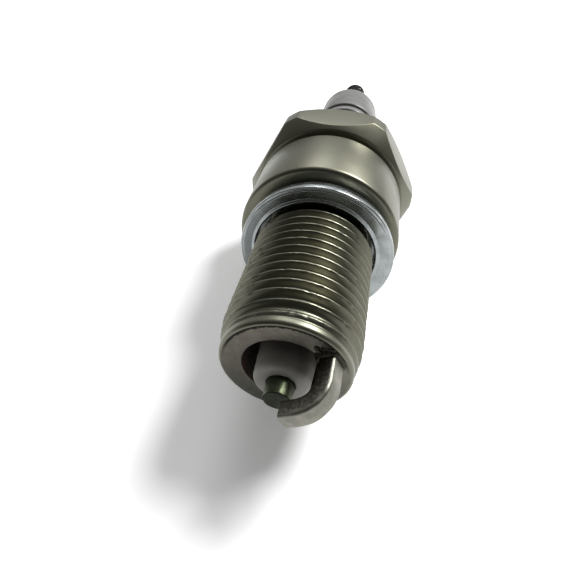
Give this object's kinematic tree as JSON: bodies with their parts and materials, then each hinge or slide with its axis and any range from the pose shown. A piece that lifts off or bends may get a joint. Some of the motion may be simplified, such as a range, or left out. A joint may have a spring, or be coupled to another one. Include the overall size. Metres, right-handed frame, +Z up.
{
  "type": "spark plug",
  "caption": "Spark plug with a threaded steel shell, hexagon, folded crush gasket, ribbed ceramic insulator, bent ground strap and a plain screw terminal.",
  "frame": {"origin": "on the plug's axis, in the plane of the shell's gasket seat", "axes": "+Y along the axis from the firing end to the terminal, +Z up, out of the hexagon flat opposite the one that the plug lies on"},
  "size_m": [0.023, 0.0776, 0.0208],
  "materials": {
    "shell_nickel": "satin nickel plate over steel, warm grey, darker and worn on the thread",
    "gasket_zinc": "bright zinc plate, slightly blue",
    "alumina": "off-white alumina, glazed on the barrel and matt on the nose",
    "electrode_nickel": "used nickel alloy, dark grey-green",
    "copper": "bare copper",
    "glass_seal": "copper filled glass, dull",
    "suppressor_carbon": "carbon filled glass, dull black",
    "terminal_steel": "nickel plated steel",
    "strap_nickel": "drawn nickel alloy, satin, darkened by heat at the weld",
    "packing_steel": "plain soft steel",
    "talc": "pressed talc powder"
  },
  "bodies": {
    "plug": {"metal_shell": "shell_nickel", "insulator": "alumina", "centre_electrode": "electrode_nickel", "copper_core": "copper", "lower_glass_seal": "glass_seal", "suppressor": "suppressor_carbon", "upper_glass_seal": "glass_seal", "terminal_stud": "terminal_steel", "ground_electrode": "strap_nickel", "seat_washer": "packing_steel", "lower_packing_ring": "packing_steel", "talc_fill": "talc", "upper_packing_ring": "packing_steel"},
    "gasket": {"crush_gasket": "gasket_zinc"}
  },
  "joints": [
    {"name": "gasket_slide", "type": "slide", "parent": "plug", "child": "gasket", "axis": [0, 1, 0], "range_m": [-0.0013, 0.00085]}
  ]
}
